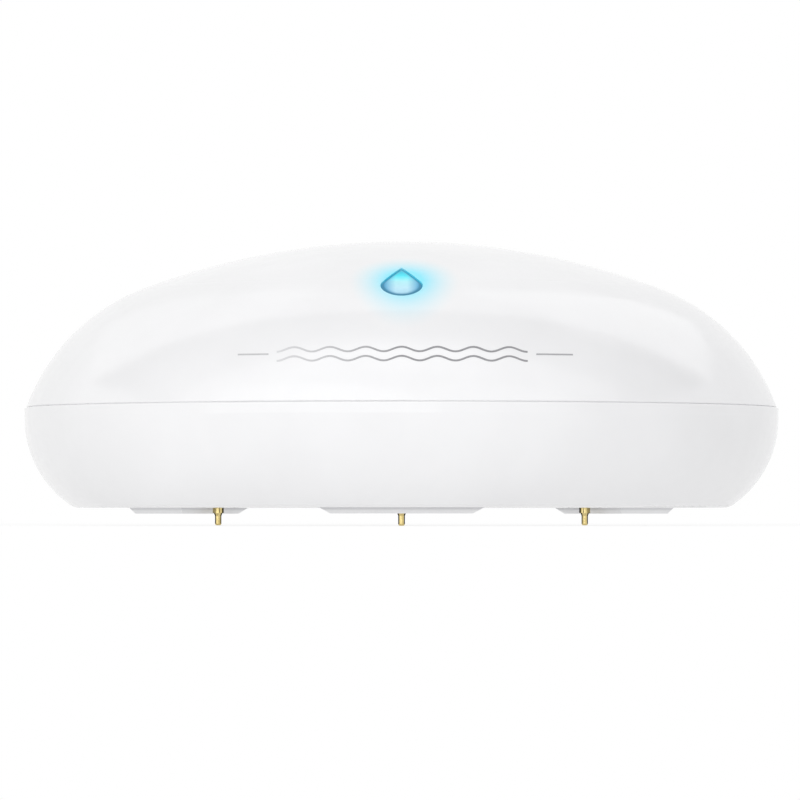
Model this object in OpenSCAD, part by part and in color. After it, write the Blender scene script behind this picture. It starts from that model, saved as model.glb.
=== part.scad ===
// Water leak sensor: a round puck that stands on the floor on three sprung gold probes. The domed cover
// turns off its base on a coarse ramp, and a lit drop sits flush in the cover's front slope.
// Millimetres, +Z up. The origin is on the floor, on the puck's axis, and the front faces -Y.

/* [Body] */
// Diameter of the base at the seam
body_d = 72; // [66:0.5:84]
// Height of the base, from its underside to the seam
base_h = 9.5; // [8.5:0.1:12]
// How far the base wall tucks in between the seam and the underside
base_tuck = 4.75; // [3.5:0.05:6]
// Height of the straight band of the base under the seam
base_land = 1; // [0.6:0.1:2]
// Height of the cover, from the seam to its top
dome_h = 15.9; // [15:0.1:20]
// Radius of the flat crown of the cover
crown_r = 70; // [60:1:90]
// Radius of the shoulder between the crown and the seam
shoulder_r = 19; // [17.5:0.1:20.5]
// Thickness of both shells
wall = 1.8; // [1.4:0.1:2.2]
// Height of the underside above the floor
stand_h = 1.7; // [1.5:0.05:2.4]
// Rounding of the base's lower edge
under_round = 1.5; // [0.5:0.1:2.5]
// Rounding of both shells' edges at the seam
seam_round = 0.1; // [0.1:0.05:0.3]

/* [Seam and seal] */
// Gap between the base and the cover
seam_gap = 0.04; // [0.03:0.01:0.3]
// How far the base stands out past the cover at the seam
seam_step = 0.15; // [0:0.05:0.4]
// Width of the sealing ring
seal_w = 0.8; // [0.6:0.05:1]
// Depth of the groove in the cover that holds the sealing ring
groove_depth = 0.7; // [0.5:0.05:0.9]
// Room round the sealing ring
seal_clear = 0.02; // [0.02:0.01:0.08]

/* [Cover lock] */
// Width of the thick rim at the foot of the cover
rim_w = 2.75; // [2.6:0.05:3.2]
// Height of the thick rim
rim_h = 1.7; // [1.4:0.1:2]
// Space between the rim and the lip of the base, for the lugs and keepers
lock_space = 2.1; // [1.8:0.05:2.5]
// Room between a lug and what it passes
lock_clear = 0.2; // [0.12:0.02:0.3]
// How far the keepers stand out from the lip
keeper_w = 1.15; // [0.8:0.05:1.3]
// Thickness of the lip
lip_w = 1.5; // [1.2:0.1:2]
// Height of the lip above the seam
lip_rise = 3.3; // [3:0.1:3.6]
// Number of lugs round the cover
lug_count = 3; // [2:1:4]
// Angle covered by each lug
lug_span = 14; // [10:1:18]
// Height of each lug at its middle
lug_h = 1; // [0.8:0.1:1.2]
// Angle covered by each keeper
keeper_span = 22; // [18:1:26]
// Angle of the first lug, from +X
lug_angle = 30; // [0:5:90]
// Angle that the cover turns to come free
open_turn = 60; // [50:5:70]
// How far the cover rises in that turn
open_lift = 3.6; // [3.4:0.1:4]

/* [Drop light] */
// Width of the drop
drop_w = 3.75; // [3:0.05:5]
// Distance from the centre of the drop's round end to its tip
drop_reach = 4.7; // [3.4:0.05:5]
// Distance of the drop's round end in from the edge of the body
drop_in = 9.95; // [9:0.05:12]
// Gap round the drop
lens_clear = 0.06; // [0.03:0.01:0.12]
// How far the flange under the drop reaches past it
flange_w = 0.7; // [0.5:0.1:1]
// Thickness of that flange at its outer edge
flange_t = 0.9; // [0.6:0.1:1.2]
// Diameter of the stem that guides the light up
stem_d = 2.6; // [2:0.1:3.2]
// Gap between the stem and the light below it
stem_gap = 0.3; // [0.2:0.05:0.5]

/* [Feet] */
// Distance of a foot's outer edge in from the edge of the underside
foot_in = 4.15; // [3:0.05:5]
// Width of a foot, measured from the axis outwards
foot_w = 5.3; // [4:0.1:5.6]
// Angle covered by a foot
foot_span = 32.4; // [24:0.4:40]
// How far a foot stands below the underside
foot_drop = 0.56; // [0.5:0.02:0.8]
// Depth of the pocket that a foot sits in
foot_seat = 0.5; // [0.3:0.05:0.7]
// How far each end of a foot slopes in
foot_slope = 1; // [0.5:0.1:1.5]
// How far each side of a foot slopes in
foot_bevel = 0.3; // [0.1:0.05:0.5]
// Room round a foot in its pocket
foot_clear = 0.06; // [0.03:0.01:0.12]

/* [Probes] */
// Distance of the probes in from the edge of the body
probe_in = 15.4; // [14.5:0.1:16]
// Diameter of the plunger's tip
tip_d = 0.62; // [0.5:0.02:0.7]
// Diameter of the plunger where it slides in its barrel
guide_d = 0.84; // [0.76:0.02:0.9]
// Height of the cone between the two
cone_h = 0.28; // [0.2:0.02:0.34]
// Diameter of the barrel where it comes out of the base
neck_d = 1.08; // [1.04:0.02:1.2]
// How far the barrel comes out of the base
neck_drop = 0.5; // [0.4:0.02:0.56]
// Diameter of the barrel inside the base
barrel_d = 1.7; // [1.6:0.05:2]
// Wall of the barrel inside the base
barrel_wall = 0.22; // [0.16:0.02:0.28]
// Running clearance of the plunger, on the radius
run_clear = 0.03; // [0.02:0.005:0.05]
// Thickness of the plunger's head
head_h = 0.5; // [0.4:0.05:0.7]
// Wire of the spring
spring_wire = 0.14; // [0.1:0.01:0.16]
// Turns of the spring
spring_turns = 5; // [4:1:5]
// Width of the sealing ring round a barrel
ring_w = 0.75; // [0.6:0.05:1]
// Height of that ring
ring_h = 0.8; // [0.6:0.05:0.9]
// Room round a barrel in its hole and its ring
probe_clear = 0.04; // [0.02:0.01:0.06]

/* [Battery] */
// Diameter of the cell
cell_d = 16.8; // [14:0.1:18]
// Length of the cell, with its nub
cell_l = 34.5; // [28:0.1:36]
// Diameter of the nub
nub_d = 6.6; // [5:0.1:8]
// Height of the nub
nub_h = 1.2; // [0.8:0.1:1.5]
// Room round the cell in its cradle
cell_clear = 0.15; // [0.1:0.05:0.3]
// Thickness of the cradle's walls and floor
cradle_t = 1; // [0.8:0.1:1.4]
// Room for a spring clip at each end of the cell
clip_space = 1.4; // [1.2:0.1:2]
// Thickness of a spring clip
clip_t = 0.35; // [0.25:0.05:0.45]
// Width of a spring clip
clip_w = 8; // [6:0.5:10]
// Length of the finger gap in the cradle's sides
finger_l = 15; // [12:1:18]

/* [Circuit board] */
// Thickness of the board
board_t = 1; // [0.8:0.1:1.6]
// Height of the board's underside above the floor of the base
board_lift = 1.7; // [1.5:0.1:2]
// Room round the board inside the lip
board_clear = 0.9; // [0.6:0.1:1.4]
// Room between the board's slot and the cradle
slot_clear = 0.3; // [0.2:0.05:0.5]
// Room between parts on the board
part_gap = 1; // [0.6:0.1:1.2]
// Distance of the screws in from the edge of the board
screw_in = 3; // [2.8:0.1:4]
// Angle of the rear screw, from +X
screw_angle = 70; // [66:1:74]
// Diameter of the screws
screw_d = 1.9; // [1.6:0.1:2.2]
// Length of a screw in its boss
screw_grip = 2.5; // [2:0.1:2.6]
// Diameter of the screw heads
screw_head_d = 3.6; // [3:0.1:4]
// Height of the screw heads
screw_head_h = 1.1; // [0.8:0.1:1.4]
// Diameter of the bosses under the board
boss_d = 4.6; // [4:0.1:5]

/* [Parts on the board] */
// Diameter of the sounder
sounder_d = 13; // [10:0.5:14]
// Height of the sounder
sounder_h = 6.5; // [5:0.5:8]
// Diameter of the sounder's outlet
sounder_hole_d = 2.4; // [1.5:0.1:3]
// Length of the radio shield
radio_l = 13; // [10:0.5:14]
// Width of the radio shield
radio_w = 9; // [7:0.5:10]
// Height of the radio shield
radio_h = 2.2; // [1.6:0.1:3]
// Sheet of the radio shield
radio_t = 0.3; // [0.2:0.05:0.4]
// Side of the control chip
chip_w = 6; // [5:0.5:7]
// Height of the control chip
chip_h = 0.9; // [0.7:0.1:1.2]
// Side of the pairing switch
switch_w = 6; // [5:0.5:6.5]
// Height of the pairing switch
switch_h = 3.2; // [2.5:0.1:4]
// Diameter of the pairing button
button_d = 3.4; // [2.8:0.1:4]
// How far the button stands out of the switch
button_proud = 1.1; // [0.8:0.1:1.6]
// How far the button travels
button_travel = 0.3; // [0.2:0.05:0.5]
// Depth of the button inside the switch
button_depth = 1.2; // [0.8:0.1:1.4]
// Clearance of the button, on the radius
button_clear = 0.06; // [0.04:0.01:0.1]
// Length of the light under the stem
led_l = 3.5; // [3:0.1:3.8]
// Width of the light
led_w = 2.8; // [2.6:0.1:3.2]
// Height of the light
led_h = 1.4; // [1:0.1:1.9]
// Diameter of the cup in the light
led_cup_d = 2.3; // [1.8:0.1:2.4]
// Height of the antenna
antenna_h = 4; // [3:0.5:5]
// Thickness of the antenna
antenna_t = 0.5; // [0.3:0.05:0.8]
// Angle that the antenna covers
antenna_span = 34; // [24:1:36]
// Side of the temperature sensor
thermo_w = 2; // [1.5:0.1:2.4]
// Height of the temperature sensor
thermo_h = 0.8; // [0.6:0.1:1.2]

/* [Hidden] */
$fn = 128;
// Overlap that joins two shapes of one piece
bite = 0.2;
// Directions of the three probes and feet, from +X
front_angle = -90;
right_angle = 30;
left_angle = 150;
sides = [front_angle, left_angle, right_angle];

// Heights
under_z = stand_h;
seam_z = under_z + base_h;
floor_z = under_z + wall;
rim_z = seam_z + seam_gap;
apex_z = seam_z + dome_h;
lip_z = seam_z + lip_rise;
board_z = floor_z + board_lift;
board_top = board_z + board_t;
foot_z = under_z - foot_drop;

// Radii of the shells, from the outside in
body_r = body_d / 2;
cover_r = body_r - seam_step;
rim_in_r = cover_r - rim_w;
lip_r = rim_in_r - lock_space;
lip_in_r = lip_r - lip_w;
board_r = lip_in_r - board_clear;

// Curve of the base wall: an arc that leaves the straight band upright and ends at the underside
tuck_h = base_h - base_land;
tuck_r = (tuck_h * tuck_h + base_tuck * base_tuck) / (2 * base_tuck);
tuck_cr = body_r - tuck_r;
tuck_cz = seam_z - base_land;

// Curve of the cover: a crown arc about the axis that runs into a shoulder arc, which ends at the rim
crown_z = apex_z - crown_r;
arm = crown_r - shoulder_r;
rim_reach = norm([cover_r, rim_z - crown_z]);
rim_lean = atan2(cover_r, rim_z - crown_z);
meet_cos = (rim_reach * rim_reach + arm * arm - shoulder_r * shoulder_r) / (2 * rim_reach * arm);
meet_angle = rim_lean - acos(meet_cos);
shoulder_cr = arm * sin(meet_angle);
shoulder_cz = crown_z + arm * cos(meet_angle);

// Height of that curve at a radius out on the shoulder, moved in by an inset
function shoulder_z(inset, r) = shoulder_cz + sqrt(pow(shoulder_r - inset, 2) - pow(r - shoulder_cr, 2));

// Sealing ring, which lands on the top edge of the base wall
seal_r = body_r - wall + seal_w / 2 + seal_clear;

// Lugs and keepers: both follow one ramp, so the gap between them stays as the cover turns
lug_in_r = lip_r + lock_clear;
keeper_r = lip_r + keeper_w;
ramp_r = lip_r + lock_space / 2;
ramp_tilt = atan(open_lift / (open_turn * PI / 180) / ramp_r);
lug_low = rim_z + lock_clear;
lug_top = lug_low + lug_h;
stop_gap = lock_clear / ramp_r * 180 / PI;
stop_span = 4;
ramp_block = 12;

// Drop light
drop_r = body_r - drop_in;
drop_steps = 36;
stem_z = board_top + led_h + stem_gap;
guide_z = shoulder_z(wall + lens_clear, drop_r + drop_w / 2 + flange_w) - flange_t;

// Feet
foot_out_r = body_r - base_tuck - foot_in;
foot_in_r = foot_out_r - foot_w;
foot_mid_r = (foot_out_r + foot_in_r) / 2;
foot_tilt = atan(foot_slope / foot_drop);

// Probes, from the floor up
probe_r = body_r - probe_in;
tip_round = tip_d / 4;
neck_z = under_z - neck_drop;
barrel_z = under_z + wall / 4;
step_z = barrel_z + wall / 4;
head_z = step_z + run_clear;
head_top = head_z + head_h;
barrel_cap = 0.4;
barrel_top = board_top + barrel_cap;
barrel_bore_d = barrel_d - 2 * barrel_wall;
ring_d = barrel_d + 2 * probe_clear + 2 * ring_w;
spring_r = barrel_bore_d / 2 - spring_wire / 2 - run_clear;
spring_low = head_top + spring_wire / 2 + run_clear;
spring_high = barrel_top - barrel_cap - spring_wire / 2 - run_clear;
spring_sides = 6;
spring_steps = 8;

// Battery and cradle: the cradle lies just in front of the two rear probes
cradle_in_l = cell_l + 2 * clip_space;
cradle_l = cradle_in_l + 2 * cradle_t;
cradle_w = cell_d + 2 * cell_clear + 2 * cradle_t;
cell_y = probe_r * sin(right_angle) - barrel_d / 2 - part_gap / 2 - slot_clear - cradle_w / 2;
cell_z = floor_z + cradle_t + cell_clear + cell_d / 2;
cell_chamfer = 0.5;
cradle_end_rise = 3;
finger_drop = 4;
clip_rise = 4;
tail_land = 1.7;
clip_tail = cradle_t + slot_clear + tail_land;
clip_bulge = clip_space - clip_t - run_clear;
clip_bend_r = (clip_rise * clip_rise + clip_bulge * clip_bulge) / (2 * clip_bulge);
clip_room = 0.2;
rib_t = 0.9;
rib_h = 1.1;
rib_l = 14;

// Board: places of its parts
slot_l = cradle_l + 2 * slot_clear;
slot_w = cradle_w + 2 * slot_clear;
slot_front = cell_y - slot_w / 2;
slot_back = cell_y + slot_w / 2;
screw_r = board_r - screw_in;
screw_front_y = slot_front - slot_clear - screw_head_d / 2;
screw_front_angle = asin(screw_front_y / screw_r);
screw_angles = [screw_angle, screw_front_angle, 180 - screw_front_angle];
pilot_room = 0.2;
pilot_depth = screw_grip + pilot_room;
recess_reach = 0.6;
recess_share = 0.15;
hole_clear = 0.05;
cup_taper = 0.7;
chip_x = sounder_d / 2 + part_gap + chip_w / 2;
chip_y = slot_back + part_gap + chip_w / 2;
switch_x = led_l / 2 + part_gap / 2 + switch_w / 2;
switch_y = slot_front - slot_clear - switch_w / 2;
switch_top = board_top + switch_h;
switch_bore = button_depth + button_travel + hole_clear;
radio_x = -(led_l / 2 + part_gap / 2 + radio_l / 2);
radio_y = slot_front - slot_clear - radio_w / 2;
sounder_y = slot_back + part_gap + sounder_d / 2;
thermo_x = cradle_in_l / 2 - clip_t + clip_tail + part_gap + thermo_w / 2;
antenna_r = board_r - part_gap;

// Ring sector between two radii, two angles and two heights
module sector(r_in, r_out, from, to, low, high) {
    rotate([0, 0, from])
        rotate_extrude(angle = to - from)
            translate([r_in, low])
                square([r_out - r_in, high - low]);
}

// Box centred in X and Y that stands at a height
module block(l, w, low, h) {
    translate([-l / 2, -w / 2, low])
        cube([l, w, h]);
}

// Half of the section of the space inside the base's outer face, moved in by an inset
module base_section(inset, high) {
    low = under_z + inset;
    split = body_r - base_tuck - 2 * wall;
    translate([0, low])
        square([split, high - low]);
    intersection() {
        translate([tuck_cr, tuck_cz])
            circle(tuck_r - inset);
        translate([split, low])
            square([body_r, tuck_cz - low]);
    }
    translate([split, tuck_cz])
        square([body_r - inset - split, high - tuck_cz]);
}

// What a rounding takes off the corner between a piece's flat lower face and the arc of its outer face
module lower_corner(arc_cr, arc_cz, arc_r, flat_z, round_r) {
    mid_z = flat_z + round_r;
    mid_r = arc_cr + sqrt(pow(arc_r - round_r, 2) - pow(mid_z - arc_cz, 2));
    stretch = arc_r / (arc_r - round_r);
    end_r = arc_cr + (mid_r - arc_cr) * stretch;
    end_z = arc_cz + (mid_z - arc_cz) * stretch;
    difference() {
        polygon([
            [mid_r, mid_z],
            [mid_r, flat_z - bite],
            [body_r + bite, flat_z - bite],
            [body_r + bite, end_z],
            [end_r, end_z]
        ]);
        translate([mid_r, mid_z])
            circle(round_r);
    }
}

// Half of the section of the base's outer shape, with its edges rounded
module base_outline() {
    difference() {
        base_section(0, seam_z);
        lower_corner(tuck_cr, tuck_cz, tuck_r, under_z, under_round);
        translate([body_r - seam_round, seam_z - seam_round])
            difference() {
                square(seam_round + bite);
                circle(seam_round);
            }
    }
}

// Half of the section of the space inside the cover's outer face, moved in by an inset
module dome_section(inset, low) {
    split = (crown_r - inset) * sin(meet_angle);
    intersection() {
        translate([0, crown_z])
            circle(crown_r - inset);
        translate([0, low])
            square([split, apex_z - low + wall]);
    }
    intersection() {
        translate([shoulder_cr, shoulder_cz])
            circle(shoulder_r - inset);
        translate([split, low])
            square([body_r, apex_z - low + wall]);
    }
}

// Solid inside the cover's outer face, moved in by an inset
module dome_solid(inset) {
    rotate_extrude()
        dome_section(inset, rim_z);
}

// Block that lies above the lock's ramp, or below it; the ramp has this height at angle 0
module above_ramp(z) {
    translate([ramp_r, 0, z])
        rotate([ramp_tilt, 0, 0])
            translate([-ramp_block / 2, -ramp_block, 0])
                cube([ramp_block, 2 * ramp_block, ramp_block]);
}

module below_ramp(z) {
    translate([ramp_r, 0, z])
        rotate([ramp_tilt, 0, 0])
            translate([-ramp_block / 2, -ramp_block, -ramp_block])
                cube([ramp_block, 2 * ramp_block, ramp_block]);
}

// Copies for every lug of the lock
module each_lug() {
    for (i = [0 : lug_count - 1])
        rotate([0, 0, lug_angle + i * 360 / lug_count])
            children();
}

// Section of a ring on the base that rises to the lip's height and clears the inside of the cover
module lip_section(r_in, r_out, low) {
    intersection() {
        translate([r_in, low])
            square([r_out - r_in, lip_z - low]);
        dome_section(wall + lock_clear, low - bite);
    }
}

module keeper_sector(from, to) {
    rotate([0, 0, from])
        rotate_extrude(angle = to - from)
            lip_section(lip_r - bite, keeper_r, seam_z);
}

// Keeper that holds a lug down, with the stop that the lug closes against
module keeper() {
    stop_at = -lug_span / 2 - stop_gap;
    intersection() {
        keeper_sector(stop_at, stop_at + keeper_span);
        above_ramp(lug_top + lock_clear);
    }
    keeper_sector(stop_at - stop_span, stop_at);
}

module lug() {
    intersection() {
        sector(lug_in_r, rim_in_r + bite, -lug_span / 2, lug_span / 2, lug_low, lug_top + rim_h);
        below_ramp(lug_top);
    }
}

// Drop outline with its tip towards the axis, grown evenly all round: straight sides that run into an arc
module drop_outline(grow) {
    r = drop_w / 2 + grow;
    reach = drop_reach * r / (drop_w / 2);
    side = asin(r / reach);
    sweep = 180 + 2 * side;
    angles = [for (i = [0 : drop_steps]) 180 - side + sweep * i / drop_steps];
    translate([0, -drop_r])
        polygon(concat([[0, reach]], [for (a = angles) [r * cos(a), r * sin(a)]]));
}

module drop_prism(grow, low) {
    translate([0, 0, low])
        linear_extrude(apex_z - low + wall)
            drop_outline(grow);
}

// Blank of a foot or of its pocket, on +X, grown in its own plane
module foot_blank(grow, low, high) {
    turn = foot_span / 2 + grow / foot_mid_r * 180 / PI;
    sector(foot_in_r - grow, foot_out_r + grow, -turn, turn, low, high);
}

// Places on the circles of the probes and the screws
module at_probe(angle) {
    rotate([0, 0, angle])
        translate([probe_r, 0, 0])
            children();
}

module each_screw() {
    for (angle = screw_angles)
        rotate([0, 0, angle])
            translate([screw_r, 0, 0])
                children();
}

// Stepped hole for a barrel, with the pocket of its sealing ring
module probe_hole() {
    translate([0, 0, under_z - wall])
        cylinder(d = neck_d + 2 * probe_clear, h = 2 * wall);
    translate([0, 0, barrel_z - probe_clear])
        cylinder(d = barrel_d + 2 * probe_clear, h = 2 * wall);
    translate([0, 0, floor_z - ring_h])
        cylinder(d = ring_d + 2 * probe_clear, h = 2 * wall);
}

// Base: shell, lip with keepers, bosses for the board and ribs beside the cradle
module base_shell() {
    color("whitesmoke")
        difference() {
            union() {
                rotate_extrude()
                    difference() {
                        base_outline();
                        base_section(wall, seam_z + wall);
                    }
                rotate_extrude()
                    lip_section(lip_in_r, lip_r, floor_z - bite);
                each_lug()
                    keeper();
                each_screw()
                    translate([0, 0, floor_z - bite])
                        cylinder(d = boss_d, h = board_lift + bite);
                for (side = [-1, 1])
                    translate([0, cell_y + side * (cradle_w / 2 + cell_clear + rib_t / 2), 0])
                        block(rib_l, rib_t, floor_z - bite, rib_h + bite);
            }
            for (angle = sides)
                rotate([0, 0, angle])
                    foot_blank(foot_clear, under_z - wall, under_z + foot_seat);
            for (angle = sides)
                at_probe(angle)
                    probe_hole();
            each_screw()
                translate([0, 0, board_z - pilot_depth])
                    cylinder(d = screw_d + 2 * hole_clear, h = pilot_depth + wall);
        }
}

// Cover: dome with a thick rim, the groove for the seal, the lugs and the window for the drop
module top_cover() {
    color("white")
        difference() {
            union() {
                rotate_extrude()
                    difference() {
                        union() {
                            difference() {
                                dome_section(0, rim_z);
                                dome_section(wall, rim_z - wall);
                            }
                            translate([rim_in_r, rim_z])
                                square([rim_w / 2, rim_h]);
                        }
                        translate([seal_r - seal_w / 2 - seal_clear, rim_z - wall])
                            square([seal_w + 2 * seal_clear, groove_depth + wall]);
                        lower_corner(shoulder_cr, shoulder_cz, shoulder_r, rim_z, seam_round);
                    }
                each_lug()
                    lug();
            }
            drop_prism(lens_clear, lip_z);
        }
}

// Light guide: drop, flange behind the shell and stem down to the light
module drop_light_guide() {
    color("deepskyblue", 0.8) {
        intersection() {
            drop_prism(0, guide_z);
            dome_solid(0);
        }
        intersection() {
            drop_prism(flange_w, guide_z);
            dome_solid(wall + lens_clear);
        }
        translate([0, -drop_r, stem_z])
            cylinder(d = stem_d, h = guide_z - stem_z + bite);
    }
}

// Sealing ring, round where it presses on the base
module cover_seal() {
    color("dimgray")
        rotate_extrude() {
            intersection() {
                translate([seal_r, seam_z + seal_clear + seal_w / 2])
                    circle(d = seal_w);
                translate([seal_r - seal_w, seam_z])
                    square([2 * seal_w, seal_clear + seal_w / 2]);
            }
            translate([seal_r - seal_w / 2, seam_z + seal_clear + seal_w / 2])
                square([seal_w, seam_gap + groove_depth - 2 * seal_clear - seal_w / 2]);
        }
}

// Foot pad: seated in its pocket, sloped at its ends and bevelled at its sides
module foot_pad(angle) {
    color("gainsboro")
        rotate([0, 0, angle]) {
            foot_blank(0, under_z, under_z + foot_seat - foot_clear);
            difference() {
                rotate([0, 0, -foot_span / 2])
                    rotate_extrude(angle = foot_span)
                        polygon([
                            [foot_in_r, under_z],
                            [foot_in_r + foot_bevel, foot_z],
                            [foot_out_r - foot_bevel, foot_z],
                            [foot_out_r, under_z]
                        ]);
                for (side = [0, 1])
                    mirror([0, side, 0])
                        rotate([0, 0, foot_span / 2])
                            translate([0, 0, under_z])
                                rotate([-foot_tilt, 0, 0])
                                    translate([foot_in_r - wall, 0, -foot_w])
                                        cube([foot_w + 2 * wall, foot_w, 2 * foot_w]);
            }
        }
}

// Barrel: narrow neck below the base, wide chamber for the spring above
module probe_barrel(angle) {
    color("goldenrod")
        at_probe(angle)
            difference() {
                union() {
                    translate([0, 0, neck_z])
                        cylinder(d = neck_d, h = step_z - neck_z);
                    translate([0, 0, barrel_z])
                        cylinder(d = barrel_d, h = barrel_top - barrel_z);
                }
                translate([0, 0, neck_z - wall])
                    cylinder(d = guide_d + 2 * run_clear, h = step_z - neck_z + 2 * wall);
                translate([0, 0, step_z])
                    cylinder(d = barrel_bore_d, h = barrel_top - barrel_cap - step_z);
            }
}

// Plunger: rounded tip, cone, guide and the head that the step in the barrel holds back
module probe_plunger(angle) {
    tip_r = tip_d / 2;
    guide_r = guide_d / 2;
    head_r = barrel_bore_d / 2 - run_clear;
    color("gold")
        at_probe(angle)
            rotate_extrude() {
                square([tip_r - tip_round, tip_round]);
                intersection() {
                    translate([tip_r - tip_round, tip_round])
                        circle(tip_round);
                    translate([tip_r - tip_round, 0])
                        square(tip_round);
                }
                polygon([
                    [0, tip_round],
                    [tip_r, tip_round],
                    [tip_r, neck_z - cone_h],
                    [guide_r, neck_z],
                    [guide_r, head_z],
                    [head_r, head_z],
                    [head_r, head_top],
                    [0, head_top]
                ]);
            }
}

// Points and faces of a coil: rings of a few sides that climb round the axis
function coil_point(ring, side) =
    let (
        turn = ring * 360 / spring_steps,
        around = side * 360 / spring_sides,
        rise = (spring_high - spring_low) * ring / (spring_turns * spring_steps),
        r = spring_r + spring_wire / 2 * cos(around)
    )
    [r * cos(turn), r * sin(turn), spring_low + rise + spring_wire / 2 * sin(around)];

function coil_index(ring, side) = ring * spring_sides + side % spring_sides;

module probe_spring(angle) {
    rings = spring_turns * spring_steps;
    points = [for (ring = [0 : rings], side = [0 : spring_sides - 1]) coil_point(ring, side)];
    lower = [for (ring = [0 : rings - 1], side = [0 : spring_sides - 1])
        [coil_index(ring, side), coil_index(ring, side + 1), coil_index(ring + 1, side)]];
    upper = [for (ring = [0 : rings - 1], side = [0 : spring_sides - 1])
        [coil_index(ring, side + 1), coil_index(ring + 1, side + 1), coil_index(ring + 1, side)]];
    start = [for (side = [1 : spring_sides - 2])
        [coil_index(0, 0), coil_index(0, side + 1), coil_index(0, side)]];
    finish = [for (side = [1 : spring_sides - 2])
        [coil_index(rings, 0), coil_index(rings, side), coil_index(rings, side + 1)]];
    color("silver")
        at_probe(angle)
            polyhedron(points, concat(lower, upper, start, finish));
}

// Sealing rings round the three barrels
module probe_seals() {
    color("dimgray")
        for (angle = sides)
            at_probe(angle)
                translate([0, 0, floor_z - ring_h])
                    difference() {
                        cylinder(d = ring_d, h = ring_h);
                        translate([0, 0, -wall])
                            cylinder(d = barrel_d + 2 * probe_clear, h = ring_h + 2 * wall);
                    }
}

// Board: round, with a slot for the cradle and holes for the barrels and the screws
module circuit_board() {
    color("darkgreen")
        difference() {
            translate([0, 0, board_z])
                cylinder(r = board_r, h = board_t);
            translate([0, cell_y, 0])
                block(slot_l, slot_w, board_z - wall, board_t + 2 * wall);
            for (angle = sides)
                at_probe(angle)
                    translate([0, 0, board_z - wall])
                        cylinder(d = barrel_d + 2 * probe_clear, h = board_t + 2 * wall);
            each_screw()
                translate([0, 0, board_z - wall])
                    cylinder(d = screw_d + 2 * hole_clear, h = board_t + 2 * wall);
        }
}

// Screws with a cross recess
module board_screws() {
    recess_l = screw_head_d * recess_reach;
    recess_w = screw_head_d * recess_share;
    color("silver")
        each_screw()
            difference() {
                union() {
                    translate([0, 0, board_top])
                        cylinder(d = screw_head_d, h = screw_head_h);
                    translate([0, 0, board_z - screw_grip])
                        cylinder(d = screw_d, h = screw_grip + board_t + bite);
                }
                for (turn = [0, 90])
                    rotate([0, 0, turn])
                        block(recess_l, recess_w, board_top + screw_head_h / 2, screw_head_h);
            }
}

// Cradle: saddle with end walls, finger gaps in its sides and windows for the clips' tails. Its corners
// keep out of the path of the light guide's stem, which swings round with the cover.
module battery_cradle() {
    side_h = cell_z - floor_z;
    end_h = side_h + cradle_end_rise;
    swing_r = drop_r - stem_d / 2 - lock_clear;
    color("darkslategray")
        intersection() {
            translate([0, cell_y, 0])
                difference() {
                    block(cradle_l, cradle_w, floor_z, end_h);
                    translate([-cradle_in_l / 2, 0, cell_z])
                        rotate([0, 90, 0])
                            cylinder(d = cell_d + 2 * cell_clear, h = cradle_in_l);
                    block(cradle_in_l, cradle_w + wall, cell_z, end_h);
                    block(finger_l, cradle_w + wall, cell_z - finger_drop, end_h);
                    block(cradle_l + wall, clip_w + 2 * clip_room, board_top - clip_room,
                        clip_t + 2 * clip_room);
                }
            translate([0, 0, floor_z - wall])
                cylinder(r = swing_r, h = end_h + 2 * wall);
        }
}

// Lithium cell with its nub towards +X
module battery_cell() {
    r = cell_d / 2;
    can_l = cell_l - nub_h;
    color("steelblue")
        translate([-cell_l / 2, cell_y, cell_z])
            rotate([0, 90, 0])
                rotate_extrude()
                    polygon([
                        [0, 0],
                        [r - cell_chamfer, 0],
                        [r, cell_chamfer],
                        [r, can_l - cell_chamfer],
                        [r - cell_chamfer, can_l],
                        [nub_d / 2, can_l],
                        [nub_d / 2, cell_l],
                        [0, cell_l]
                    ]);
}

// Spring clip: upright plate with a bowed leaf that presses on the cell and a tail on the board
module battery_clip(end) {
    color("silver")
        translate([0, cell_y, 0])
            mirror([end < 0 ? 1 : 0, 0, 0])
                translate([cradle_in_l / 2 - clip_t, clip_w / 2, 0])
                    rotate([90, 0, 0])
                        linear_extrude(clip_w)
                            clip_section();
}

module clip_section() {
    translate([0, board_top])
        square([clip_t, cell_z + clip_rise - board_top]);
    translate([0, board_top])
        square([clip_tail, clip_t]);
    intersection() {
        translate([clip_bend_r - clip_bulge, cell_z])
            difference() {
                circle(clip_bend_r);
                circle(clip_bend_r - clip_t);
            }
        translate([-clip_space, cell_z - clip_rise])
            square([clip_space + clip_t / 2, 2 * clip_rise]);
    }
}

// Sounder with its outlet on top
module sounder() {
    color("dimgray")
        translate([0, sounder_y, board_top])
            difference() {
                cylinder(d = sounder_d, h = sounder_h);
                translate([0, 0, sounder_h / 2])
                    cylinder(d = sounder_hole_d, h = sounder_h);
            }
}

// Light with an open cup, under the stem
module indicator_light() {
    color("ivory")
        translate([0, -drop_r, 0])
            difference() {
                block(led_l, led_w, board_top, led_h);
                translate([0, 0, board_top + led_h / 2])
                    cylinder(d1 = led_cup_d * cup_taper, d2 = led_cup_d, h = led_h / 2);
            }
}

module pairing_switch() {
    color("dimgray")
        translate([switch_x, switch_y, 0])
            difference() {
                block(switch_w, switch_w, board_top, switch_h);
                translate([0, 0, switch_top - switch_bore])
                    cylinder(d = button_d + 2 * button_clear, h = switch_bore + wall);
            }
}

module pairing_button() {
    color("black")
        translate([switch_x, switch_y, switch_top - button_depth])
            cylinder(d = button_d, h = button_depth + button_proud);
}

// Radio shield: folded can, open below
module radio_shield() {
    color("lightgray")
        translate([radio_x, radio_y, 0])
            difference() {
                block(radio_l, radio_w, board_top, radio_h);
                block(radio_l - 2 * radio_t, radio_w - 2 * radio_t, board_top - wall,
                    radio_h + wall - radio_t);
            }
}

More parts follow.
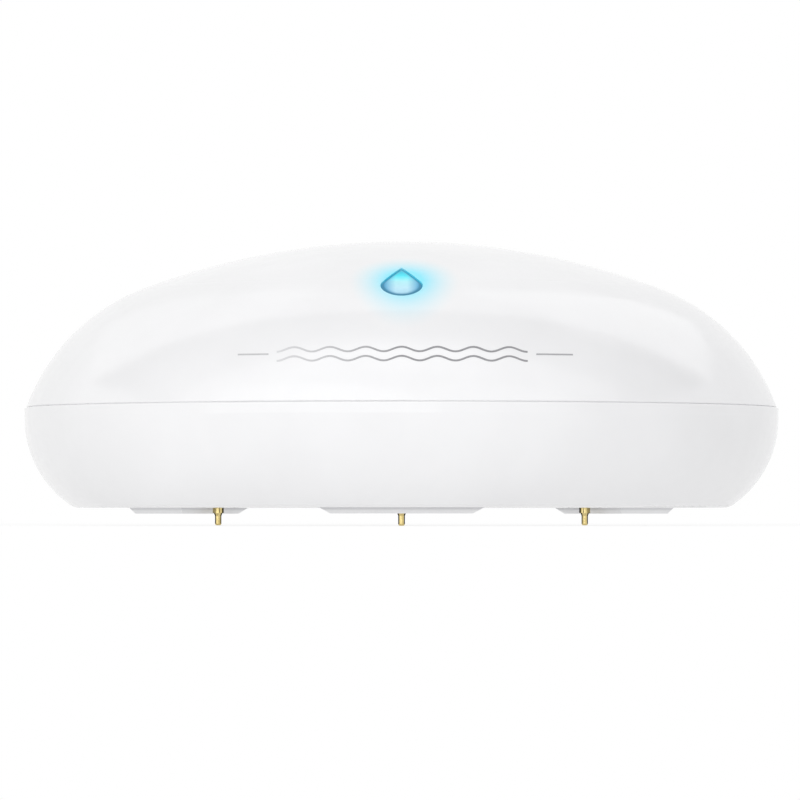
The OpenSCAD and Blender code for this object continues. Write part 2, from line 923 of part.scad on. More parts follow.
module control_chip() {
    color("black")
        translate([chip_x, chip_y, 0])
            block(chip_w, chip_w, board_top, chip_h);
}

// Antenna: strip on edge that follows the rim of the board
module antenna() {
    color("goldenrod")
        sector(antenna_r - antenna_t, antenna_r, left_angle - antenna_span / 2, left_angle + antenna_span / 2,
            board_top, board_top + antenna_h);
}

module temperature_sensor() {
    color("black")
        translate([thermo_x, cell_y, 0])
            block(thermo_w, thermo_w, board_top, thermo_h);
}

base_shell();
top_cover();
drop_light_guide();
cover_seal();
foot_pad(front_angle);  // foot_pad_front
foot_pad(left_angle);  // foot_pad_left
foot_pad(right_angle);  // foot_pad_right
probe_barrel(front_angle);  // probe_barrel_front
probe_barrel(left_angle);  // probe_barrel_left
probe_barrel(right_angle);  // probe_barrel_right
probe_plunger(front_angle);  // probe_plunger_front
probe_plunger(left_angle);  // probe_plunger_left
probe_plunger(right_angle);  // probe_plunger_right
probe_spring(front_angle);  // probe_spring_front
probe_spring(left_angle);  // probe_spring_left
probe_spring(right_angle);  // probe_spring_right
probe_seals();
circuit_board();
board_screws();
battery_cradle();
battery_cell();
battery_clip(1);  // battery_clip_positive
battery_clip(-1);  // battery_clip_negative
sounder();
indicator_light();
pairing_switch();
pairing_button();
radio_shield();
control_chip();
antenna();
temperature_sensor();
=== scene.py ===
"""Looks of a water leak sensor: a glossy white puck with a lit drop, on three gold probes.

Metres, +Z up. The front faces -Y, and the origin is on the floor, on the puck's axis.
"""

import math

import bmesh
import bpy
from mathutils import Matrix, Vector


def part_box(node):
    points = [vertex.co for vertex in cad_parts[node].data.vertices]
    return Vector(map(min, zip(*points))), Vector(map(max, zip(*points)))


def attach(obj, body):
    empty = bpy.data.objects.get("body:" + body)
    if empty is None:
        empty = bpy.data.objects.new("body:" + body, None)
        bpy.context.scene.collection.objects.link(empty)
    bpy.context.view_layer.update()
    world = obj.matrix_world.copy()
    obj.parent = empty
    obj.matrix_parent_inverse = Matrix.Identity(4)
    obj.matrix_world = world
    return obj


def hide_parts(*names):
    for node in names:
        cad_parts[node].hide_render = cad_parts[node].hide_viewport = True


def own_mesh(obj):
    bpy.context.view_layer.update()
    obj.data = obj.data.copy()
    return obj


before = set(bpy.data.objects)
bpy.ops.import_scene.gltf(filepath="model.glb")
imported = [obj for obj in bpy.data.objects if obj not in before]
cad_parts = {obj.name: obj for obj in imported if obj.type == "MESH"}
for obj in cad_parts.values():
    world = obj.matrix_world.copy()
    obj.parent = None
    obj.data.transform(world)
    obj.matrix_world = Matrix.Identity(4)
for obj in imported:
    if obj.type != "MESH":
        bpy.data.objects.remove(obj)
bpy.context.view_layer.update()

MM = 0.001

# Camera: measured in the 800 x 800 picture
IMAGE_SIZE = 800
FOCAL_PIXELS = 6063
HORIZON_ROW = 516.5
CENTRE_COLUMN = 401.5
CAMERA_BACK = 580 * MM
CAMERA_UP = 0.86 * MM
SENSOR_MM = 36

# Curve of the cover: a crown arc about the axis that runs into a shoulder arc
cover_low, cover_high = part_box("top_cover")
base_low, base_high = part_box("base_shell")
SEAM_STEP = 0.15 * MM
COVER_R = base_high.x - SEAM_STEP
RIM_Z = cover_low.z
APEX_Z = cover_high.z
CROWN_R = 70 * MM
SHOULDER_R = 19 * MM
CROWN_Z = APEX_Z - CROWN_R
ARM = CROWN_R - SHOULDER_R
RIM_REACH = math.hypot(COVER_R, RIM_Z - CROWN_Z)
RIM_LEAN = math.atan2(COVER_R, RIM_Z - CROWN_Z)
MEET_ANGLE = RIM_LEAN - math.acos((RIM_REACH**2 + ARM**2 - SHOULDER_R**2) / (2 * RIM_REACH * ARM))
SHOULDER_CR = ARM * math.sin(MEET_ANGLE)
SHOULDER_CZ = CROWN_Z + ARM * math.cos(MEET_ANGLE)
MEET_R = CROWN_R * math.sin(MEET_ANGLE)

# Drop
light_low, light_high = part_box("indicator_light")
guide_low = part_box("drop_light_guide")[0]
DROP_R = -(light_low.y + light_high.y) / 2
DROP_HALF = 3.75 / 2 * MM
DROP_REACH = 4.7 * MM
FLANGE_W = 0.7 * MM
FLANGE_T = 0.9 * MM
WALL = 1.8 * MM
LENS_CLEAR = 0.06 * MM
STEM_R = 1.3 * MM
BEVEL_W = 0.34 * MM
BEVEL_DEPTH = 0.1 * MM
# Share of the bevel's width where its painted shade is darkest
DARK_SHARE = 0.6
# Rings of the drop's face as shares of its outline, and how much painted shade darkens the last one and the
# bevel's two
FACE_SHARES = (0.12, 0.3, 0.5, 0.7, 0.88, 1)
RIM_SHADE_SHARES = (0.25, 1.0, 1.0)
ARC_STEPS = 64
SIDE_STEPS = 14

# Lip of the seal, in the seam
SEAM_GAP = 0.04 * MM
LIP_CLEAR = 0.004 * MM
LIP_INSET = 0.03 * MM
LIP_STEPS = 360

# Probes
PROBES = ("front", "left", "right")
SPRING_WIRE = 0.14 * MM
SPRING_TURNS = 5
SPRING_STEPS = 24
WIRE_SIDES = 10

# Painted shade: a darker band at the top of a pad's side, under the base
PAD_SHADE_BAND = 0.3 * MM

# Printed marks on the front of the cover
PRINT_Z = 15.55 * MM
INK_T = 0.012 * MM
INK_SINK = 0.03 * MM
RULE_W = 0.13 * MM
RULE_STEPS = 16
RULES = {"print_rule_left": (-14.85 * MM, -12.05 * MM), "print_rule_right": (12.2 * MM, 15.55 * MM)}
WAVE_FROM = -11.3 * MM
WAVE_TO = 11.4 * MM
WAVE_LENGTH = 3.24 * MM
WAVE_HEIGHT = 0.42 * MM
WAVE_W = 0.16 * MM
WAVE_STEPS = 168
WAVE_RISES = {"print_wave_upper": 0.42 * MM, "print_wave_lower": -0.42 * MM}

# Light: what the camera and reflections see, and what falls on the sensor
WORLD_SEEN = 1.0
WORLD_LIGHT = 0.63
FLOOR_SEEN = 0.66
FLOOR_LIGHT = 0.55
FLOOR_TONE = 0.36
FLOOR_HALF = 6.0
FLOOR_FADE = (0.12, 0.25)
CARD_AWAY = 1.5 * MM
CARD_Y = (-0.3 * MM, 5 * MM)
CARD_Z = (0.05 * MM, 2 * MM)
PANEL_X = (-1.2, 1.2)
PANEL_FRONT = -0.2
PANEL_REAR = 0.134
PANEL_CURVE = 0.45
PANEL_Z = 0.7
PANEL_STEPS = 12
LAMP_BACK = 0.7
LAMP_AIM_Z = 12 * MM

# Lamps: turn and rise in degrees, width and height in metres, power in watts, colour
LAMPS = {
    "key": (-25, 12, 1.0, 1.0, 3.1, (1, 1, 1)),
    "fill": (20, 14, 0.9, 0.9, 0.76, (0.95, 0.95, 1)),
    "top": (0, 80, 0.6, 0.6, 0.59, (1, 1, 1)),
    "side": (100, 20, 0.6, 0.6, 0.11, (0.95, 0.95, 1)),
    "rear_right": (135, 45, 0.45, 0.45, 0.27, (1, 1, 1)),
    "rear_left": (-135, 45, 0.45, 0.45, 0.11, (1, 1, 1)),
}


def dome_z(r, inset=0.0):
    """Height of the cover's outer curve, moved in by an inset, at a radius."""
    if r < MEET_R:
        return CROWN_Z + math.sqrt((CROWN_R - inset) ** 2 - r**2)
    return SHOULDER_CZ + math.sqrt((SHOULDER_R - inset) ** 2 - (r - SHOULDER_CR) ** 2)


def shoulder_r(z):
    """Radius of the cover's shoulder at a height."""
    return SHOULDER_CR + math.sqrt(SHOULDER_R**2 - (z - SHOULDER_CZ) ** 2)


# Meshes


def loft(name, rings, joined=False):
    """Mesh of quads between rings of equal length. The last ring joins the first, or fans cap both ends."""
    count = len(rings[0])
    points = [p for ring in rings for p in ring]
    faces = []
    for k in range(len(rings) if joined else len(rings) - 1):
        here, there = k * count, (k + 1) % len(rings) * count
        for i in range(count):
            j = (i + 1) % count
            faces.append((here + i, here + j, there + j, there + i))
    if not joined:
        for start in (0, (len(rings) - 1) * count):
            ring = points[start : start + count]
            points.append(tuple(sum(map(Vector, ring), Vector()) / count))
            faces += [(start + i, start + (i + 1) % count, len(points) - 1) for i in range(count)]
    mesh = bpy.data.meshes.new(name)
    mesh.from_pydata(points, [], faces)
    work = bmesh.new()
    work.from_mesh(mesh)
    bmesh.ops.recalc_face_normals(work, faces=work.faces)
    work.to_mesh(mesh)
    work.free()
    mesh.polygons.foreach_set("use_smooth", [True] * len(mesh.polygons))
    piece = bpy.data.objects.new(name, mesh)
    bpy.context.scene.collection.objects.link(piece)
    return piece


def drop_outline(grow):
    """Plan points of the drop, grown evenly all round, from its tip and round its arc."""
    r = DROP_HALF + grow
    reach = DROP_REACH * r / DROP_HALF
    lean = math.asin(r / reach)
    start, sweep = math.pi - lean, math.pi + 2 * lean
    arc = [start + sweep * i / ARC_STEPS for i in range(ARC_STEPS + 1)]
    arc = [(r * math.cos(a), r * math.sin(a)) for a in arc]
    tip = (0.0, reach)
    shares = [i / SIDE_STEPS for i in range(SIDE_STEPS)]
    left = [(arc[0][0] * s, tip[1] + (arc[0][1] - tip[1]) * s) for s in shares]
    right = [(arc[-1][0] * (1 - s), arc[-1][1] + (tip[1] - arc[-1][1]) * s) for s in shares[1:]]
    return left + arc + right


def on_dome(plan, sink):
    """Ring of points over plan points about the drop's centre, a depth under the cover's outer face."""
    return [(x, y - DROP_R, dome_z(math.hypot(x, y - DROP_R)) - sink) for x, y in plan]


def make_drop():
    """Light guide: bevelled drop flush with the cover, flange behind it and stem down to the light."""
    inner = drop_outline(-BEVEL_W)
    rings = [on_dome([(x * s, y * s) for x, y in inner], 0) for s in FACE_SHARES]
    # Ring where the painted shade on the bevel is darkest
    dark_line = drop_outline(-BEVEL_W * DARK_SHARE)
    rings.append(on_dome(dark_line, BEVEL_DEPTH * (1 - DARK_SHARE)))
    edge = drop_outline(0)
    rings.append(on_dome(edge, BEVEL_DEPTH))
    first_edge = len(FACE_SHARES) - 1
    flange = drop_outline(FLANGE_W)
    under = WALL + LENS_CLEAR
    inside = [(x, y - DROP_R, dome_z(math.hypot(x, y - DROP_R), under)) for x, y in edge]
    flange_top = [(x, y - DROP_R, dome_z(math.hypot(x, y - DROP_R), under)) for x, y in flange]
    guide_z = min(p[2] for p in flange_top) - FLANGE_T
    flange_low = [(x, y, guide_z) for x, y, z in flange_top]
    count = len(edge)
    turns = [math.atan2(y, x) for x, y in edge]
    stem_top = [(STEM_R * math.cos(a), STEM_R * math.sin(a) - DROP_R, guide_z) for a in turns]
    stem_low = [(x, y, guide_low.z) for x, y, z in stem_top]
    rings += [inside, flange_top, flange_low, stem_top, stem_low]
    piece = loft("drop_lens", rings)
    # Shares of painted shade for the lens's colour: the last face ring and the bevel's two rings
    rim = piece.data.attributes.new("rim", "FLOAT", "POINT")
    for k, value in enumerate(RIM_SHADE_SHARES):
        for i in range(count):
            rim.data[(first_edge + k) * count + i].value = value
    return piece


def strip(name, path, width):
    """Thin band of ink on the cover's shoulder along (x, z) points, with a closed box section."""
    rings = []
    for i, (x, z) in enumerate(path):
        before, after = path[max(i - 1, 0)], path[min(i + 1, len(path) - 1)]
        along = Vector((after[0] - before[0], after[1] - before[1])).normalized()
        across = Vector((-along.y, along.x)) * width / 2
        ring = []
        for side, lift in ((1, INK_T), (-1, INK_T), (-1, -INK_SINK), (1, -INK_SINK)):
            px, pz = x + across.x * side, z + across.y * side
            r = shoulder_r(pz)
            out = Vector((r - SHOULDER_CR, pz - SHOULDER_CZ)).normalized() * lift
            scale = (r + out.x) / r
            ring.append((px * scale, -math.sqrt(r**2 - px**2) * scale, pz + out.y))
        rings.append(ring)
    piece = loft(name, rings)
    piece.data.polygons.foreach_set("use_smooth", [False] * len(piece.data.polygons))
    return piece


def make_print():
    """Two short rules, with a pair of plain waves between them."""
    pieces = []
    for name, (start, end) in RULES.items():
        path = [(start + (end - start) * i / RULE_STEPS, PRINT_Z) for i in range(RULE_STEPS + 1)]
        pieces.append(strip(name, path, RULE_W))
    for name, rise in WAVE_RISES.items():
        xs = [WAVE_FROM + (WAVE_TO - WAVE_FROM) * i / WAVE_STEPS for i in range(WAVE_STEPS + 1)]
        path = [(x, PRINT_Z + rise + WAVE_HEIGHT / 2 * math.cos(2 * math.pi * x / WAVE_LENGTH)) for x in xs]
        pieces.append(strip(name, path, WAVE_W))
    return pieces


def make_lip():
    """Thin lip of the seal, out through the seam to just behind the cover's edge."""
    seal_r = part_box("cover_seal")[1].y
    section = [
        (seal_r, RIM_Z - LIP_CLEAR),
        (seal_r, RIM_Z - SEAM_GAP + LIP_CLEAR),
        (COVER_R - LIP_INSET, RIM_Z - SEAM_GAP + LIP_CLEAR),
        (COVER_R - LIP_INSET, RIM_Z - LIP_CLEAR),
    ]
    turns = [2 * math.pi * i / LIP_STEPS for i in range(LIP_STEPS)]
    rings = [[(r * math.cos(a), r * math.sin(a), z) for r, z in section] for a in turns]
    return loft("seal_lip", rings, joined=True)


def make_spring(probe):
    """Coil over a plunger's head, with rounder wire than its solid."""
    low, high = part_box("probe_spring_" + probe)
    plunger_low, plunger_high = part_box("probe_plunger_" + probe)
    middle = (plunger_low + plunger_high) / 2
    wire_r = SPRING_WIRE / 2
    coil_r = max(high.x - middle.x, middle.x - low.x) - wire_r
    climb = high.z - low.z - SPRING_WIRE
    steps = SPRING_TURNS * SPRING_STEPS
    rings = []
    for k in range(steps + 1):
        turn = 2 * math.pi * k / SPRING_STEPS
        height = low.z + wire_r + climb * k / steps
        ring = []
        for i in range(WIRE_SIDES):
            around = 2 * math.pi * i / WIRE_SIDES
            r = coil_r + wire_r * math.cos(around)
            place = (r * math.cos(turn), r * math.sin(turn), height + wire_r * math.sin(around))
            ring.append((middle.x + place[0], middle.y + place[1], place[2]))
        rings.append(ring)
    return loft("spring_coil_" + probe, rings)


# Materials


class Finish:
    """One material's node tree, with short calls for its nodes."""

    def __init__(self, name, **values):
        self.material = bpy.data.materials.new(name)
        self.material.use_nodes = True
        self.tree = self.material.node_tree
        self.shader = self.tree.nodes["Principled BSDF"]
        self.set(**values)

    def set(self, **values):
        """Values or links of the shader's sockets, with _ for the space in a socket's name."""
        for key, value in values.items():
            self.plug(self.shader.inputs[key.replace("_", " ")], value)

    def plug(self, socket, value):
        if isinstance(value, bpy.types.NodeSocket):
            self.tree.links.new(value, socket)
        elif socket.type == "RGBA" and len(value) == 3:
            socket.default_value = (*value, 1)
        else:
            socket.default_value = value

    def add(self, kind, inputs=(), **settings):
        node = self.tree.nodes.new(kind)
        for key, value in settings.items():
            setattr(node, key, value)
        for key, value in dict(inputs).items():
            self.plug(node.inputs[key], value)
        return node

    def place(self):
        """Place in the piece's own space, in metres."""
        return self.add("ShaderNodeTexCoord").outputs["Object"]

    def noise(self, size, detail=3, where=None):
        """Noise whose lumps are about this many metres across."""
        inputs = {"Vector": where or self.place(), "Scale": 1 / size, "Detail": detail}
        return self.add("ShaderNodeTexNoise", inputs).outputs["Fac"]

    def spread(self, value, low, high, source=(0.3, 0.7)):
        """Value moved from a source range to a target range, and held there."""
        inputs = {"Value": value, "From Min": source[0], "From Max": source[1], "To Min": low, "To Max": high}
        return self.add("ShaderNodeMapRange", inputs).outputs["Result"]

    def math(self, operation, a, b=0.0):
        return self.add("ShaderNodeMath", {0: a, 1: b}, operation=operation).outputs[0]

    def mix(self, share, a, b):
        node = self.add("ShaderNodeMix", data_type="RGBA")
        self.plug(node.inputs["Factor"], share)
        self.plug(node.inputs[6], a)
        self.plug(node.inputs[7], b)
        return node.outputs[2]

    def ramp(self, value, stops, interpolation="LINEAR"):
        node = self.add("ShaderNodeValToRGB", {"Fac": value})
        bar = node.color_ramp
        bar.interpolation = interpolation
        while len(bar.elements) < len(stops):
            bar.elements.new(0.5)
        for element, (at, colour) in zip(bar.elements, stops):
            element.position = at
            element.color = (*colour, 1)
        return node.outputs["Color"]

    def bump(self, height, distance, strength=1.0):
        inputs = {"Height": height, "Distance": distance, "Strength": strength}
        self.set(Normal=self.add("ShaderNodeBump", inputs).outputs["Normal"])


def srgb(red, green, blue):
    """Linear colour of 0 to 255 screen values."""
    shares = [v / 255 for v in (red, green, blue)]
    return tuple(v / 12.92 if v <= 0.04045 else ((v + 0.055) / 1.055) ** 2.4 for v in shares)


SHELL = srgb(240, 240, 241)
# Painted glow round the drop on the cover: light from the drop painted into the cover's colour and emission
HALO = srgb(92, 220, 242)
HALO_FULL = 1.6 * MM
HALO_FADE = 5.3 * MM
HALO_CENTRE = (0.25 * MM, 1.4 * MM - DROP_R, 0)
HALO_STRETCH = (1.0, 0.72, 0.0)
HALO_POWER = 1.7
HALO_TINT = 0.95
HALO_GLOW = 0.12


def shell_finish(name, halo=False):
    """Glossy white plastic with a faint moulded waviness. The cover has a painted glow round its drop, in
    colour and emission.
    """
    f = Finish(name, IOR=1.5)
    mottle = f.spread(f.noise(9 * MM), 0, 1)
    colour = f.mix(mottle, srgb(238, 238, 239), srgb(242, 242, 243))
    f.set(Roughness=f.spread(f.noise(2.5 * MM), 0.13, 0.19))
    if halo:
        # Painted glow: cyan mixed into the colour and added as emission, fading away from the drop
        offset = f.add("ShaderNodeVectorMath", {0: f.place(), 1: HALO_CENTRE}, operation="SUBTRACT")
        flat = f.add("ShaderNodeVectorMath", {0: offset.outputs[0], 1: HALO_STRETCH}, operation="MULTIPLY")
        far = f.add("ShaderNodeVectorMath", {0: flat.outputs[0]}, operation="LENGTH").outputs["Value"]
        near = f.spread(far, 1, 0, (HALO_FULL, HALO_FADE))
        glow = f.math("POWER", near, HALO_POWER)
        colour = f.mix(f.math("MULTIPLY", glow, HALO_TINT), colour, HALO)
        f.set(Emission_Color=HALO, Emission_Strength=f.math("MULTIPLY", glow, HALO_GLOW))
    f.set(Base_Color=colour)
    f.bump(f.noise(1.4 * MM, 2), 0.004 * MM)
    return f.material


def lens_finish():
    """Lit drop in emission: cyan near its tip, pale below, with painted shade that makes it bluer at its
    sides and dark on its bevel.
    """
    f = Finish("drop_lens", Roughness=0.12, IOR=1.5, Specular_IOR_Level=0.02)
    place = f.add("ShaderNodeSeparateXYZ", {0: f.place()})
    share = f.spread(place.outputs["Y"], 0, 1, (-DROP_R - DROP_HALF, -DROP_R + DROP_REACH))
    stops = [
        (0.0, srgb(176, 222, 244)),
        (0.2, srgb(198, 238, 251)),
        (0.4, srgb(184, 241, 247)),
        (0.5, srgb(150, 244, 254)),
        (0.64, srgb(84, 232, 246)),
        (0.8, srgb(56, 202, 226)),
        (1.0, srgb(34, 150, 180)),
    ]
    inside = f.ramp(share, stops)
    # Painted shade: deeper blue towards the drop's sides
    aside = f.spread(f.math("ABSOLUTE", place.outputs["X"]), 0, 1, (0.28 * DROP_HALF, 0.9 * DROP_HALF))
    inside = f.mix(aside, inside, srgb(78, 168, 214))
    # Painted shade: darker colour on the last face ring and on the bevel
    rim = f.add("ShaderNodeAttribute", attribute_name="rim").outputs["Fac"]
    ring = f.ramp(share, [(0.0, srgb(84, 138, 168)), (0.5, srgb(48, 132, 166)), (1.0, srgb(30, 134, 162))])
    colour = f.mix(rim, inside, ring)
    grain = f.spread(f.noise(0.6 * MM), 0.94, 1.0)
    lit = f.add("ShaderNodeVectorMath", {0: colour, 3: grain}, operation="SCALE").outputs[0]
    f.set(Base_Color=srgb(18, 40, 52), Emission_Color=lit, Emission_Strength=1.0)
    return f.material


def ink_finish(name, left, right):
    """Grey ink that pales towards the left."""
    f = Finish(name, Roughness=0.45)
    across = f.add("ShaderNodeSeparateXYZ", {0: f.place()}).outputs["X"]
    share = f.spread(across, 0, 1, (-12 * MM, 12 * MM))
    tone = f.ramp(share, [(0.0, left), (0.5, right), (1.0, right)])
    speckle = f.spread(f.noise(0.12 * MM), 0, 0.12)
    f.set(Base_Color=f.mix(speckle, tone, SHELL))
    return f.material


def pad_finish():
    """Soft pale grey rubber with a fine grain, with painted shade that makes it a little darker at the top
    where it meets the base.
    """
    f = Finish("foot_pad", IOR=1.45, Specular_IOR_Level=0.2)
    grain = f.noise(0.18 * MM, 4)
    colour = f.mix(f.spread(grain, 0, 1), srgb(244, 244, 245), srgb(249, 249, 250))
    height = f.add("ShaderNodeSeparateXYZ", {0: f.place()}).outputs["Z"]
    # Painted shade at the top of the pad, where it meets the base's underside
    root_shade = f.spread(height, 0, 1, (base_low.z - PAD_SHADE_BAND, base_low.z - PAD_SHADE_BAND / 2))
    f.set(Base_Color=f.mix(root_shade, colour, srgb(225, 225, 227)))
    f.set(Roughness=f.spread(grain, 0.5, 0.65))
    f.bump(grain, 0.01 * MM)
    return f.material


def metal_finish(name, dark, light, rough, size, stretch=(1, 1, 1), relief=0.003 * MM):
    """Plated metal with drawn or turned streaks."""
    f = Finish(name, Metallic=1.0)
    where = f.add("ShaderNodeVectorMath", {0: f.place(), 1: stretch}, operation="MULTIPLY").outputs[0]
    streak = f.noise(size, 4, where)
    f.set(Base_Color=f.mix(f.spread(streak, 0, 1), dark, light))
    f.set(Roughness=f.spread(streak, rough, rough * 1.6))
    f.bump(streak, relief)
    return f.material


def plastic_finish(name, dark, light, rough, size):
    """Moulded plastic with a spark-eroded grain."""
    f = Finish(name, IOR=1.48)
    grain = f.noise(size, 4)
    f.set(Base_Color=f.mix(f.spread(grain, 0, 1), dark, light))
    f.set(Roughness=f.spread(grain, rough, min(1, rough * 1.35)))
    f.bump(grain, size * 0.06)
    return f.material


def board_finish():
    """Green solder mask over copper tracks."""
    f = Finish("circuit_board", Roughness=0.35, IOR=1.5)
    inputs = {"Vector": f.place(), "Scale": 1 / (1.9 * MM)}
    tracks = f.add("ShaderNodeTexVoronoi", inputs, feature="DISTANCE_TO_EDGE")
    share = f.spread(tracks.outputs["Distance"], 1, 0, (0.05, 0.09))
    weave = f.spread(f.noise(0.5 * MM), 0, 1)
    mask = f.mix(weave, srgb(18, 78, 50), srgb(24, 92, 60))
    f.set(Base_Color=f.mix(share, mask, srgb(44, 124, 82)))
    f.bump(share, 0.02 * MM)
    return f.material


def cell_finish():
    """Shrink-wrapped cell: a dark band over a pale sleeve, with bare steel at its ends."""
    f = Finish("battery_cell", Roughness=0.3)
    low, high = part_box("battery_cell")
    along = f.add("ShaderNodeSeparateXYZ", {0: f.place()}).outputs["X"]
    share = f.spread(along, 0, 1, (low.x, high.x))
    steel, sleeve, band = srgb(196, 198, 200), srgb(214, 220, 226), srgb(40, 92, 140)
    stops = [(0.0, steel), (0.02, sleeve), (0.7, sleeve), (0.705, band), (0.95, band), (0.955, steel)]
    wrap = f.ramp(share, stops, "CONSTANT")
    f.set(Base_Color=f.mix(f.spread(f.noise(1.2 * MM), 0, 0.08), wrap, srgb(150, 156, 164)))
    f.set(Roughness=f.spread(f.noise(3 * MM), 0.26, 0.36))
    return f.material


def dress():
    """Gives every node of the frame its finish."""
    gold_tones = srgb(200, 180, 120), srgb(226, 208, 150)
    gold = metal_finish("gold_plate", *gold_tones, 0.05, 0.2 * MM, (1, 1, 0.25), 0.0006 * MM)
    steel = metal_finish("spring_steel", srgb(150, 152, 156), srgb(196, 198, 202), 0.22, 0.3 * MM)
    zinc = metal_finish("zinc_steel", srgb(160, 164, 170), srgb(206, 208, 214), 0.28, 0.4 * MM)
    tin = metal_finish("shield_tin", srgb(176, 178, 180), srgb(208, 209, 210), 0.26, 0.8 * MM, (0.15, 1, 1))
    seal = plastic_finish("seal_grey", srgb(214, 214, 216), srgb(226, 226, 228), 0.6, 0.15 * MM)
    black = plastic_finish("part_black", srgb(24, 25, 27), srgb(38, 39, 42), 0.5, 0.2 * MM)
    cradle = plastic_finish("cradle_black", srgb(30, 32, 34), srgb(46, 48, 50), 0.55, 0.3 * MM)
    ivory = plastic_finish("led_body", srgb(226, 222, 208), srgb(240, 237, 226), 0.4, 0.2 * MM)
    pad = pad_finish()
    finishes = {
        "base_shell": shell_finish("base_shell"),
        "top_cover": shell_finish("top_cover", halo=True),
        "cover_seal": seal,
        "probe_seals": seal,
        "circuit_board": board_finish(),
        "board_screws": zinc,
        "battery_cradle": cradle,
        "battery_cell": cell_finish(),
        "battery_clip_positive": steel,
        "battery_clip_negative": steel,
        "sounder": black,
        "indicator_light": ivory,
        "pairing_switch": black,
        "pairing_button": black,
        "radio_shield": tin,
        "control_chip": black,
        "antenna": gold,
        "temperature_sensor": black,
    }
    for side in PROBES:
        finishes["foot_pad_" + side] = pad
        finishes["probe_barrel_" + side] = gold
        finishes["probe_plunger_" + side] = gold
        finishes["probe_spring_" + side] = steel
    for node, finish in finishes.items():
        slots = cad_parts[node].material_slots
        for slot in slots:
            slot.material = finish


# Stage: floor, lamps and camera


def make_floor():
    """White floor that takes the shadow near the sensor, fades to plain white, and is clear from below."""
    mesh = bpy.data.meshes.new("floor")
    corners = [(x * FLOOR_HALF, y * FLOOR_HALF, 0) for x, y in ((-1, -1), (1, -1), (1, 1), (-1, 1))]
    mesh.from_pydata(corners, [], [(0, 1, 2, 3)])
    floor = bpy.data.objects.new("floor", mesh)
    bpy.context.scene.collection.objects.link(floor)
    f = Finish("floor", Roughness=1.0, Specular_IOR_Level=0.0)
    away = f.add("ShaderNodeVectorMath", {0: f.place()}, operation="LENGTH").outputs["Value"]
    far = f.spread(away, 0, 1, FLOOR_FADE)
    f.set(Base_Color=f.mix(far, (FLOOR_TONE,) * 3, (0, 0, 0)))
    seen = f.spread(far, FLOOR_SEEN, WORLD_SEEN, (0, 1))
    f.set(Emission_Color=(1, 1, 1), Emission_Strength=seen_directly(f.tree, seen, FLOOR_LIGHT))
    below = f.add("ShaderNodeNewGeometry").outputs["Backfacing"]
    clear = f.add("ShaderNodeBsdfTransparent").outputs[0]
    either = f.add("ShaderNodeMixShader", {0: below, 1: f.shader.outputs[0], 2: clear})
    f.tree.links.new(either.outputs[0], f.tree.nodes["Material Output"].inputs["Surface"])
    mesh.materials.append(f.material)


def card_finish():
    """Matt black."""
    return Finish("card", Base_Color=(0.01, 0.01, 0.01), Roughness=0.9).material


def stage_card(name, corners, finish):
    """Dark card that only reflections see."""
    mesh = bpy.data.meshes.new(name)
    mesh.from_pydata(corners, [], [range(len(corners))])
    mesh.materials.append(finish)
    card = bpy.data.objects.new(name, mesh)
    card.visible_camera = card.visible_diffuse = card.visible_shadow = False
    bpy.context.scene.collection.objects.link(card)


def make_cards():
    """Low cards on both sides of each probe, and a panel overhead that the dome mirrors as a soft band."""
    finish = card_finish()
    for probe in PROBES:
        low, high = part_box("probe_plunger_" + probe)
        middle = (low + high) / 2
        (y0, y1), (z0, z1) = CARD_Y, CARD_Z
        for side in (-1, 1):
            x = middle.x + side * CARD_AWAY
            plan = ((y0, z0), (y1, z0), (y1, z1), (y0, z1))
            stage_card("probe_card", [(x, middle.y + y, z) for y, z in plan], finish)
    (x0, x1), steps = PANEL_X, PANEL_STEPS
    xs = [x0 + (x1 - x0) * i / steps for i in range(steps + 1)]
    rear = [(x, PANEL_REAR + PANEL_CURVE * x**2, PANEL_Z) for x in reversed(xs)]
    stage_card("overhead_panel", [(x0, PANEL_FRONT, PANEL_Z), (x1, PANEL_FRONT, PANEL_Z), *rear], finish)


def seen_directly(tree, seen, other):
    """One value for what the camera, a reflection or glass sees, and another for the light that falls."""
    path = tree.nodes.new("ShaderNodeLightPath")
    share = path.outputs["Is Camera Ray"]
    for name in ("Is Glossy Ray", "Is Transmission Ray"):
        either = tree.nodes.new("ShaderNodeMath")
        either.operation = "MAXIMUM"
        tree.links.new(share, either.inputs[0])
        tree.links.new(path.outputs[name], either.inputs[1])
        share = either.outputs[0]
    spread = tree.nodes.new("ShaderNodeMapRange")
    tree.links.new(share, spread.inputs["Value"])
    spread.inputs["To Min"].default_value = other
    if isinstance(seen, bpy.types.NodeSocket):
        tree.links.new(seen, spread.inputs["To Max"])
    else:
        spread.inputs["To Max"].default_value = seen
    return spread.outputs["Result"]


def make_world():
    """White surround, with softer light of its own."""
    world = bpy.data.worlds.new("surround")
    bpy.context.scene.world = world
    world.use_nodes = True
    tree = world.node_tree
    background = tree.nodes["Background"]
    background.inputs["Color"].default_value = (1, 1, 1, 1)
    tree.links.new(seen_directly(tree, WORLD_SEEN, WORLD_LIGHT), background.inputs["Strength"])


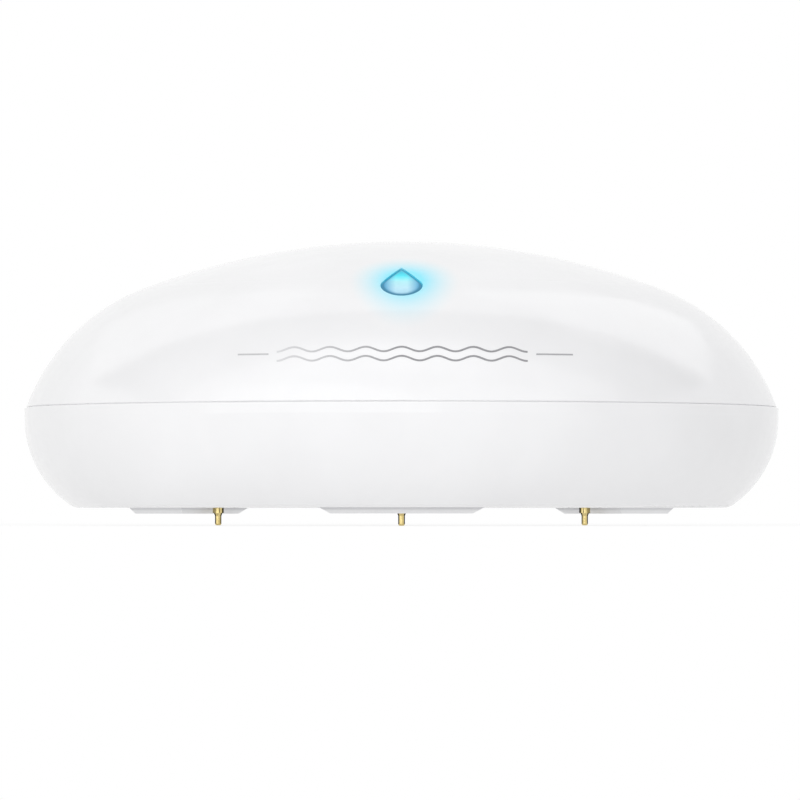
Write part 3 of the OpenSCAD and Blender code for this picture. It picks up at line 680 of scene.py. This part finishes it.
def lamp(name, turn, rise, width, height, power, colour):
    """Soft box round the sensor, turned to it. The turn is from the front, to the right."""
    data = bpy.data.lights.new(name, "AREA")
    data.shape = "RECTANGLE"
    data.size = width
    data.size_y = height
    data.energy = power
    data.color = colour
    box = bpy.data.objects.new(name, data)
    turn, rise = math.radians(turn), math.radians(rise)
    towards = Vector((math.sin(turn) * math.cos(rise), -math.cos(turn) * math.cos(rise), math.sin(rise)))
    box.location = Vector((0, 0, LAMP_AIM_Z)) + towards * LAMP_BACK
    box.rotation_euler = (-towards).to_track_quat("-Z", "Y").to_euler()
    bpy.context.scene.collection.objects.link(box)


def make_lamps():
    for name, values in LAMPS.items():
        lamp(name, *values)


def make_camera():
    data = bpy.data.cameras.new("camera")
    data.sensor_width = SENSOR_MM
    data.lens = FOCAL_PIXELS / IMAGE_SIZE * SENSOR_MM
    data.clip_start = 10 * MM
    data.clip_end = 100
    camera = bpy.data.objects.new("camera", data)
    aside = (IMAGE_SIZE / 2 - CENTRE_COLUMN) / FOCAL_PIXELS * CAMERA_BACK
    camera.location = (aside, -CAMERA_BACK, CAMERA_UP)
    pitch = math.atan((HORIZON_ROW - IMAGE_SIZE / 2) / FOCAL_PIXELS)
    camera.rotation_euler = (math.pi / 2 + pitch, 0, 0)
    bpy.context.scene.collection.objects.link(camera)
    bpy.context.scene.camera = camera


make_camera()
make_world()
make_floor()
make_cards()
make_lamps()
dress()

drop = make_drop()
drop.data.materials.append(lens_finish())
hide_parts("drop_light_guide")
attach(drop, "cover")

# Each probe's spring drawn again as a coil of round wire
for probe in PROBES:
    coil = make_spring(probe)
    coil.data.materials.append(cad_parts["probe_spring_" + probe].material_slots[0].material)
    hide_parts("probe_spring_" + probe)
    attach(coil, "base")
    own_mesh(coil)

lip = make_lip()
lip_finish = plastic_finish("seal_lip", srgb(232, 232, 234), srgb(240, 240, 241), 0.5, 0.15 * MM)
lip.data.materials.append(lip_finish)
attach(lip, "seal")

wave_ink = ink_finish("print_wave", srgb(216, 216, 218), srgb(140, 140, 143))
rule_ink = ink_finish("print_rule", srgb(190, 190, 192), srgb(162, 162, 165))
for mark in make_print():
    mark.data.materials.append(rule_ink if "rule" in mark.name else wave_ink)
    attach(mark, "cover")

bpy.context.scene.view_settings.view_transform = "Standard"
